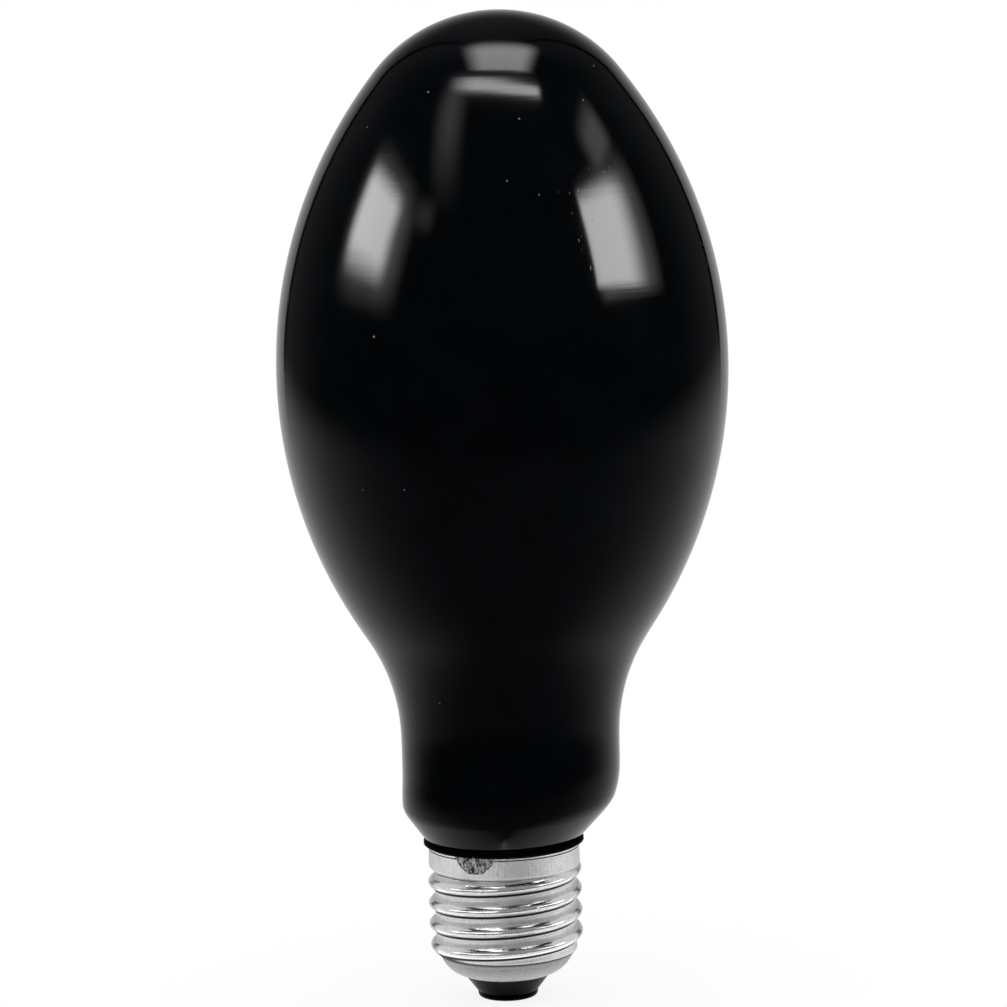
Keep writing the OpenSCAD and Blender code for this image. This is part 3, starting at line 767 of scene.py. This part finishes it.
class BULB_OT_cement_ring(bpy.types.Operator):
    """Spin the bead of black cement between the glass and the cap"""

    bl_idname = "bulb.cement_ring"
    bl_label = "Cement ring"

    def execute(self, context):
        cap, end = context.scene.bulb_cap, context.scene.bulb_end
        at = CapHeights(cap, end)
        bore_r = context.scene.bulb_glass.stub_diameter / 2 + ROUND_FIT
        plug_r = at.rim_r - cap.wall - ROUND_FIT
        plug_z = at.skirt_z + ROUND_FIT
        foot_r = at.rim_r - cap.foot_inset
        widest_z = at.seat_z - cap.bead_edge
        belly_share = 0.65
        belly = (foot_r + (at.bead_r - foot_r) * belly_share, (at.rim_z + widest_z) / 2)
        section = [
            (bore_r, plug_z), (plug_r, plug_z), (plug_r, at.rim_z), (foot_r, at.rim_z), belly,
            (at.bead_r, widest_z), (at.bead_r, widest_z + cap.bead_edge / 2),
            (at.seat_r, at.seat_z), (bore_r, at.seat_z), (bore_r, plug_z),
        ]
        piece = turned_piece("cement_bead", section)
        apply_modifier(
            piece, "BEVEL", width=0.08 * MM, segments=3, limit_method="ANGLE", angle_limit=math.radians(18)
        )
        # The cement was wiped on by hand, so its bead swells and shrinks a little round the axis
        swell_share = 0.004
        swell_span = 3 * MM
        for vertex in piece.data.vertices:
            if vertex.co.z > at.rim_z + cap.rim_bead_height and vertex.co.xy.length > at.seat_r:
                vertex.co.xy *= 1 + swell_share * noise.noise(vertex.co / swell_span)
        smooth(piece, math.radians(50))
        paint(piece, black_basing_cement(cap))
        stand_for(piece, "cement_ring")
        return {"FINISHED"}


class BULB_OT_screw_shell(bpy.types.Operator):
    """Spin the plated shell, roll the thread into it and give the sheet its thickness"""

    bl_idname = "bulb.screw_shell"
    bl_label = "Screw shell"

    def execute(self, context):
        cap, end = context.scene.bulb_cap, context.scene.bulb_end
        at = CapHeights(cap, end)
        level = 0.15 * MM
        bead_foot_z = at.rim_z - cap.rim_bead_height
        count = round((bead_foot_z - at.dome_top_z) / level)
        heights = [at.dome_top_z + (bead_foot_z - at.dome_top_z) * i / count for i in range(count + 1)]
        bead = arc(
            (at.rim_r, at.rim_z - cap.rim_bead_height / 2), cap.rim_bead_height / 2,
            -math.pi / 2, math.pi / 2, 0.1 * MM,
        )
        bead_share = cap.rim_bead_depth / (cap.rim_bead_height / 2)
        bead = [(at.rim_r + (r - at.rim_r) * bead_share, z) for r, z in bead]
        dome = dome_arc(cap, end, at)
        outline = dome[:-1] + [(plain_radius(z, cap, at), z) for z in heights] + bead[1:]
        piece = turned_piece("screw_shell_sheet", outline)
        for vertex in piece.data.vertices:
            if at.dome_top_z < vertex.co.z < bead_foot_z:
                turn = math.atan2(vertex.co.y, vertex.co.x)
                turn += math.tau if turn < 0 else 0
                plain = vertex.co.xy.length
                rise = thread_rise(turn, vertex.co.z, cap, at)
                radius = min(plain, at.root_r) + (at.thread_r - at.root_r) * rise
                vertex.co.xy *= max(radius, plain) / plain
        apply_modifier(piece, "SOLIDIFY", thickness=cap.wall, offset=-1.0, use_even_offset=True)
        smooth(piece, math.radians(35))
        paint(piece, nickel_plated_sheet(cap, at))
        stand_for(piece, "screw_shell")
        return {"FINISHED"}


class BULB_OT_insulator(bpy.types.Operator):
    """Spin the pressed black glass insulator that holds the end contact"""

    bl_idname = "bulb.insulator"
    bl_label = "Insulator"

    def execute(self, context):
        cap, end = context.scene.bulb_cap, context.scene.bulb_end
        at = CapHeights(cap, end)
        nose_r = end.nose_diameter / 2
        neck_r = at.opening_r - ROUND_FIT
        body_r = at.dome_top_r - cap.wall - 2 * ROUND_FIT
        collar_z = at.dome_top_z + end.collar_height
        floor_z = end.nose_height + end.floor_height
        hole_r = end.hole_diameter / 2
        recess_r = end.contact_diameter / 2 + ROUND_FIT
        lip = arc(
            (nose_r - end.lip_radius, end.lip_radius), end.lip_radius, -math.pi / 2, 0, 0.2 * MM
        )
        section = [(hole_r, end.contact_thickness), (recess_r, end.contact_thickness), (recess_r, 0)]
        section += lip + [(nose_r, end.lip_height), (nose_r - end.lip_step, end.lip_height)]
        section += [(neck_r, end.nose_height)]
        section += inner_dome_arc(cap, end, at, cap.wall + ROUND_FIT, neck_r, body_r)[1:]
        section += [(body_r, collar_z), (body_r - end.collar_width, collar_z)]
        section += [(end.floor_diameter / 2, floor_z), (hole_r, floor_z), (hole_r, end.contact_thickness)]
        piece = turned_piece("insulator_cup", section)
        smooth(piece, math.radians(40))
        paint(piece, pressed_black_glass(end))
        stand_for(piece, "insulator")
        return {"FINISHED"}


class BULB_OT_end_contact(bpy.types.Operator):
    """Spin the brass contact and the solder in its dish"""

    bl_idname = "bulb.end_contact"
    bl_label = "End contact"

    def execute(self, context):
        end = context.scene.bulb_end
        contact_r = end.contact_diameter / 2
        dish_r = end.dish_diameter / 2
        bore_r = end.lead_diameter / 2 + ROUND_FIT
        section = [
            (bore_r, end.contact_thickness), (contact_r, end.contact_thickness), (contact_r, 0),
            (dish_r, 0), (dish_r - end.dish_slope, end.dish_depth), (bore_r, end.dish_depth),
            (bore_r, end.contact_thickness),
        ]
        contact = turned_piece("end_contact_plate", section)
        apply_modifier(
            contact, "BEVEL", width=0.08 * MM, segments=3, limit_method="ANGLE", angle_limit=math.radians(30)
        )
        smooth(contact, math.radians(40))
        paint(contact, stamped_brass(end))
        stand_for(contact, "centre_contact")

        foot_r = dish_r - end.dish_slope - ROUND_FIT
        crown_share = 1.25
        top_z = end.dish_depth - end.dish_solder_inset - ROUND_FIT
        blob = [
            (0, end.dish_solder_inset), (foot_r / 2, end.dish_solder_inset * crown_share),
            (foot_r, (end.dish_solder_inset + end.dish_depth) / 2), (foot_r, end.dish_depth),
            (bore_r, end.dish_depth), (bore_r, top_z), (0, top_z),
        ]
        solder = turned_piece("dish_solder", blob)
        apply_modifier(
            solder, "BEVEL", width=0.06 * MM, segments=2, limit_method="ANGLE", angle_limit=math.radians(15)
        )
        smooth(solder, math.radians(60))
        paint(solder, tin_lead_solder(end))
        stand_for(solder, "contact_solder")
        return {"FINISHED"}


def solder_place(across, up, front, cap, end, at):
    """A point of the side solder: across from -1 to 1, up from 0 to 1, and front 1 on its crumpled face."""
    foot_share = 0.35
    edge_share = 0.12
    behind = 0.02 * MM
    end_share = 0.55
    most_rise = 1.25
    ragged_share = 0.10
    half_width = end.side_solder_width / 2 * (foot_share + (1 - foot_share) * math.sin(math.pi / 2 * up))
    z = at.rim_z - end.side_solder_height * (1 - up)
    on_bead = z > at.rim_z - cap.rim_bead_height
    back_r = (at.rim_r + cap.rim_bead_depth if on_bead else plain_radius(z, cap, at)) + behind
    dome = math.sqrt(max(1 - across**2, 0)) * (end_share + (1 - end_share) * math.sin(math.pi * up))
    # Folds run down from the rim and meet at the foot, as drips do
    folds = noise.noise(Vector((3.4 * across, 1.1 * up, 2.0)))
    creases = abs(noise.noise(Vector((6.5 * across, 3.2 * up, 7.0))))
    rise = edge_share + (1 - edge_share) * dome * (0.75 + 0.5 * folds + 0.55 * creases)
    radius = back_r + front * end.side_solder_depth * min(rise, most_rise)
    ragged = 1 + ragged_share * noise.noise(Vector((0.0, 5.0 * up, 3.0 * math.copysign(1.0, across))))
    turn = end.side_solder_turn + across * half_width * ragged / at.skirt_r
    return Vector((radius * math.cos(turn), radius * math.sin(turn), z))


class BULB_OT_side_solder(bpy.types.Operator):
    """Extrude a grid into a slab and crumple it into the solder on the skirt"""

    bl_idname = "bulb.side_solder"
    bl_label = "Side solder"

    def execute(self, context):
        cap, end = context.scene.bulb_cap, context.scene.bulb_end
        at = CapHeights(cap, end)
        bpy.ops.object.select_all(action="DESELECT")
        bpy.ops.mesh.primitive_grid_add(x_subdivisions=48, y_subdivisions=32, size=2, location=(0, 0, 0))
        piece = context.active_object
        piece.name = "side_solder_lump"
        bpy.ops.object.mode_set(mode="EDIT")
        bpy.ops.mesh.extrude_region_move(TRANSFORM_OT_translate={"value": (0, 0, 1)})
        bpy.ops.object.mode_set(mode="OBJECT")
        for vertex in piece.data.vertices:
            across, up, front = vertex.co.x, (vertex.co.y + 1) / 2, vertex.co.z
            vertex.co = solder_place(across, up, front, cap, end, at)
        bpy.ops.object.mode_set(mode="EDIT")
        bpy.ops.mesh.select_all(action="SELECT")
        bpy.ops.mesh.normals_make_consistent(inside=False)
        bpy.ops.object.mode_set(mode="OBJECT")
        smooth(piece, math.radians(60))
        paint(piece, tin_lead_solder(end))
        stand_for(piece, "side_solder")
        return {"FINISHED"}


class BULB_OT_leads(bpy.types.Operator):
    """Give the two lead wires inside the cap their drawn nickel"""

    bl_idname = "bulb.leads"
    bl_label = "Lead wires"

    def execute(self, context):
        wire = drawn_nickel_wire(context.scene.bulb_end)
        for name in ("side_lead", "centre_lead"):
            paint(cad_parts[name], wire)
        return {"FINISHED"}


# Studio


def light_panel_material(name, strength, soft, sag=0.0, thickness=1.0):
    """A lit panel that fades over shares of its width and height: left, right, foot and top.

    It can be a strip of the panel instead, whose ends curve upwards. Rays that it isn't linked to pass
    through it.
    """
    material, add = new_material(name)
    across, up = add("SeparateXYZ", {0: add("TexCoord").outputs["UV"]}).outputs[:2]
    off_middle = add("Math", {0: across, 1: 2.0, 2: -1.0}, operation="MULTIPLY_ADD")
    curve = add("Math", {0: off_middle, 1: off_middle}, **TIMES)
    up = add("Math", {0: curve, 1: -sag, 2: up}, operation="MULTIPLY_ADD")
    up = add("Math", {0: up, 1: thickness}, operation="DIVIDE")
    left, right, foot, top = soft
    level = add("MapRange", {0: across, 2: right, 4: strength}, **EASE)
    for value, start, end in ((across, 1.0, 1.0 - left), (up, 0.0, foot), (up, 1.0, 1.0 - top)):
        fade = add("MapRange", {0: value, 1: start, 2: end}, **EASE)
        level = add("Math", {0: level, 1: fade}, **TIMES)
    glow = add("Emission", {"Strength": level})
    shader = add("AddShader", {0: glow, 1: add("BsdfTransparent")})
    add("OutputMaterial", {"Surface": shader})
    return material


def add_light_panel(name, aim, pieces, panel):
    """A lit panel that faces a point and shows only in the reflections of some pieces.

    Its turn is counted from the camera's side, and grows to the right.
    """
    turn, elevation, roll, distance, width, height, strength, *shape = panel
    turn, elevation, roll = (math.radians(angle) for angle in (turn, elevation, roll))
    level = math.cos(elevation)
    direction = Vector((math.sin(turn) * level, -math.cos(turn) * level, math.sin(elevation)))
    bpy.ops.object.select_all(action="DESELECT")
    bpy.ops.mesh.primitive_plane_add(size=1, location=aim + direction * distance)
    plane = bpy.context.active_object
    plane.name = name
    plane.rotation_mode = "QUATERNION"
    plane.rotation_quaternion = (-direction).to_track_quat("Z", "Y") @ Quaternion((0, 0, 1), roll)
    plane.scale = (width, height, 1)
    plane.visible_camera = False
    paint(plane, light_panel_material(name, strength, *shape))
    group = bpy.data.collections.new(name)
    for piece in pieces:
        group.objects.link(bpy.data.objects[piece])
    plane.light_linking.receiver_collection = group


def floor_material():
    """Pale paper: white to the camera but for the bulb's faint shadow.

    Mirrored rays pass through it, because the world holds the floor that the gloss shows.
    """
    material, add = new_material("Pale paper floor")
    path = add("LightPath").outputs
    place = add("TexCoord").outputs["Object"]
    radius = add("VectorMath", {0: place}, operation="LENGTH").outputs["Value"]
    white = add("Emission", {"Strength": 1.0})
    paper = add("BsdfDiffuse", {"Color": linear("#FEFEFE")})
    clear = add("BsdfTransparent")
    # The shadow is deepest under the cap and gone at this radius
    shadow_r = 80 * MM
    lit = add("MapRange", {0: radius, 1: 15 * MM, 2: shadow_r, 3: 0.86, 4: 1.0}, **EASE)
    seen = add("MixShader", {0: lit, 1: paper, 2: white})
    mirrored = add("Math", {0: path["Is Glossy Ray"], 1: path["Is Transmission Ray"]}, **GREATER)
    other = add("MixShader", {0: mirrored, 1: paper, 2: clear})
    shader = add("MixShader", {0: path["Is Camera Ray"], 1: other, 2: seen})
    add("OutputMaterial", {"Surface": shader})
    return material


def set_world(scene):
    """White light and a white background, and in reflections a dark room, a pale backdrop and the floor."""
    world = bpy.data.worlds.new("Studio")
    world.use_nodes = True
    scene.world = world
    world.node_tree.nodes.clear()
    add = partial(add_node, world.node_tree)
    path = add("LightPath").outputs
    x, y, z = add("SeparateXYZ", {0: add("TexCoord").outputs["Generated"]}).outputs
    flat = add("CombineXYZ", {0: x, 1: y})
    level = add("VectorMath", {0: flat}, operation="LENGTH").outputs["Value"]
    # Kept off zero, because the next step divides by it
    level = add("Math", {0: level, 1: 0.001}, **GREATER)
    # 1 straight behind the bulb, and -1 towards the camera
    behind = add("Math", {0: y, 1: level}, operation="DIVIDE")

    # The backdrop: its side edge is 33 degrees off straight behind, and it is dimmer at its sides than in
    # its middle, and dim from 42 degrees up
    edge = math.cos(math.radians(33))
    edge_blur = 0.004
    side_level, middle_level = 0.36, 0.62
    top = math.sin(math.radians(42))
    top_share = 0.10
    backdrop = add("MapRange", {0: behind, 1: edge - edge_blur, 2: edge + edge_blur}, **EASE)
    wide = add("MapRange", {0: behind, 1: edge, 2: 1.0, 3: side_level, 4: middle_level})
    high = add("MapRange", {0: z, 1: 0.0, 2: top, 3: 1.0, 4: top_share}, **EASE)
    backdrop = add("Math", {0: backdrop, 1: wide}, **TIMES)
    backdrop = add("Math", {0: backdrop, 1: high}, **TIMES)
    # A dark line borders the backdrop, and the room beside it grows dim
    near_level, far_level = 0.055, 0.012
    room = add("MapRange", {0: behind, 1: edge - 0.02, 2: edge - 0.06, 4: 1.0}, **EASE)
    dim = add("MapRange", {0: behind, 1: edge - 0.04, 2: 0.1, 3: near_level, 4: far_level}, **EASE)
    room = add("Math", {0: room, 1: dim}, **TIMES)
    walls = add("Math", {0: room, 1: backdrop}, **PLUS)

    # The floor ends nearer in front of the bulb than behind it, and is dim in front and pale behind
    front_end, back_end = -0.36, -0.08
    front_level, back_rise, rise_power = 0.032, 0.66, 2.7
    end = add("MapRange", {0: behind, 1: -1.0, 2: edge, 3: front_end, 4: back_end})
    below = add("Math", {0: z, 1: end}, **MINUS)
    on_floor = add("MapRange", {0: below, 1: 0.05, 2: -0.13}, **EASE)
    floor = add("MapRange", {0: behind, 1: -1.0, 2: 1.0})
    floor = add("Math", {0: floor, 1: rise_power}, operation="POWER")
    floor = add("Math", {0: floor, 1: back_rise, 2: front_level}, operation="MULTIPLY_ADD")
    mirrored_level = add("Mix", {0: on_floor, 2: walls, 3: floor})

    mirrored = add("Math", {0: path["Is Glossy Ray"], 1: path["Is Transmission Ray"]}, **GREATER)
    strength = add("Mix", {0: mirrored, 2: 1.0, 3: mirrored_level})
    background = add("Background", {"Color": linear("#FFFFFF"), "Strength": strength})
    add("OutputWorld", {"Surface": background})


# The lit panels, each as: turn, elevation and roll in degrees, distance, width and height in metres,
# brightness where 1 is white, and the shares of its left, right, foot and top over which it fades. A strip
# has two more: the share of the height by which its ends rise, and the share that it takes up.
GLASS_PANELS = {
    "Left softbox": (-80, 25.5, 0, 1.0, 0.60, 0.43, 8, (0.25, 0.26, 0.36, 0.26)),
    "Left halo": (-77, 25, 0, 1.02, 0.90, 0.64, 1.6, (0.40, 0.35, 0.40, 0.35)),
    "Right softbox": (70, 24.5, 8, 1.0, 0.62, 0.46, 8, (0.06, 0.46, 0.10, 0.28)),
    "Right halo": (75, 25, 4, 1.02, 0.84, 0.60, 1.2, (0.14, 0.35, 0.14, 0.40)),
    "Right haze": (84, 43, 0, 1.0, 0.46, 0.26, 1.0, (0.4, 0.4, 0.3, 0.5)),
    "Overhead softbox": (123.7, 86.9, 123.7, 1.0, 0.72, 0.56, 4, (0.3, 0.25, 0.05, 0.45), 0.13),
    "Overhead strip": (-4.7, 76.2, 1.0, 1.03, 1.0, 0.26, 7, (0.34, 0.07, 0.15, 0.35), 0.5, 0.3),
    "Left haze": (-45, 52.6, -30, 1.0, 0.38, 0.76, 0.7, (0.5, 0.5, 0.7, 0.3)),
    "Low left haze": (-47, 33.5, 0, 1.0, 0.28, 0.20, 0.4, (0.5, 0.5, 0.5, 0.5)),
}
CAP_PANELS = {
    "Cap left card": (-50, 1, 0, 0.4, 0.72, 0.17, 1.5, (0.15, 0.10, 0.3, 0.3)),
    "Cap right card": (71, 3, 0, 0.4, 0.37, 0.17, 1.5, (0.10, 0.15, 0.3, 0.3)),
    "Cap high left card": (-72, 69, 0, 0.4, 0.62, 0.12, 2.4, (0.2, 0.3, 0.3, 0.3)),
    "Cap high right card": (92, 74, 0, 0.4, 0.36, 0.12, 2.4, (0.2, 0.2, 0.3, 0.3)),
    "Cap front card": (0, 14, 0, 0.55, 1.7, 0.9, 0.24, (0.05, 0.05, 0.05, 0.05)),
    "Cap left side card": (-105, 15, 0, 0.42, 0.60, 0.70, 0.60, (0.2, 0.2, 0.1, 0.1)),
    "Cap right side card": (105, 15, 0, 0.42, 0.60, 0.70, 0.60, (0.2, 0.2, 0.1, 0.1)),
    "Cap low card": (0, -89.9, 0, 0.065, 0.30, 0.20, 0.7, (0.1, 0.1, 0.05, 0.05)),
}


class BULB_OT_stage(bpy.types.Operator):
    """Set the floor, the soft lights, the white background and the camera"""

    bl_idname = "bulb.stage"
    bl_label = "Stage"

    def execute(self, context):
        studio = context.scene.bulb_studio
        bpy.ops.object.select_all(action="DESELECT")
        bpy.ops.mesh.primitive_circle_add(
            vertices=96, radius=studio.floor_radius, fill_type="NGON", location=(0, 0, 0)
        )
        floor = context.active_object
        floor.name = "floor"
        paint(floor, floor_material())

        head = Vector((0, 0, 130 * MM))
        for name, panel in GLASS_PANELS.items():
            add_light_panel(name, head, ("glass_bulb",), panel)
        middle = Vector((0, 0, 15 * MM))
        metal = (
            "screw_shell_sheet", "side_solder_lump", "end_contact_plate", "dish_solder",
            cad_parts["side_lead"].name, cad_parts["centre_lead"].name,
        )
        for name, panel in CAP_PANELS.items():
            add_light_panel(name, middle, metal, panel)
        set_world(context.scene)

        aim = Vector((studio.side_shift, 0, studio.aim_height))
        back = Vector((0, -math.cos(studio.camera_elevation), math.sin(studio.camera_elevation)))
        bpy.ops.object.camera_add(location=aim + back * studio.camera_distance)
        camera = context.active_object
        camera.name = "Camera"
        camera.data.sensor_width = 36
        camera.data.lens = studio.lens
        camera.data.clip_start = 0.01
        camera.rotation_euler = (-back).to_track_quat("-Z", "Y").to_euler()
        camera.rotation_euler.rotate_axis("Z", -studio.camera_roll)
        context.scene.camera = camera
        context.scene.view_settings.view_transform = "Standard"
        return {"FINISHED"}


class BULB_PT_panel(bpy.types.Panel):
    """Lists the bulb's pieces and its stage"""

    bl_idname = "BULB_PT_panel"
    bl_label = "Black-light bulb"
    bl_space_type = "VIEW_3D"
    bl_region_type = "UI"
    bl_category = "Bulb"

    def draw(self, context):
        for operator in OPERATORS:
            self.layout.operator(operator.bl_idname)


OPERATORS = (
    BULB_OT_glass_bulb,
    BULB_OT_cement_ring,
    BULB_OT_screw_shell,
    BULB_OT_insulator,
    BULB_OT_end_contact,
    BULB_OT_side_solder,
    BULB_OT_leads,
    BULB_OT_stage,
)
GROUPS = {
    "bulb_glass": BulbGlassSettings,
    "bulb_cap": BulbCapSettings,
    "bulb_end": BulbEndSettings,
    "bulb_studio": BulbStudioSettings,
}


def register():
    for group in GROUPS.values():
        bpy.utils.register_class(group)
    for name, group in GROUPS.items():
        setattr(bpy.types.Scene, name, PointerProperty(type=group))
    for operator in OPERATORS:
        bpy.utils.register_class(operator)
    bpy.utils.register_class(BULB_PT_panel)


def unregister():
    bpy.utils.unregister_class(BULB_PT_panel)
    for operator in reversed(OPERATORS):
        bpy.utils.unregister_class(operator)
    for name in GROUPS:
        delattr(bpy.types.Scene, name)
    for group in reversed(GROUPS.values()):
        bpy.utils.unregister_class(group)


def main():
    register()
    bpy.ops.bulb.glass_bulb()
    bpy.ops.bulb.cement_ring()
    bpy.ops.bulb.screw_shell()
    bpy.ops.bulb.insulator()
    bpy.ops.bulb.end_contact()
    bpy.ops.bulb.side_solder()
    bpy.ops.bulb.leads()
    bpy.ops.bulb.stage()


if __name__ == "__main__":
    main()
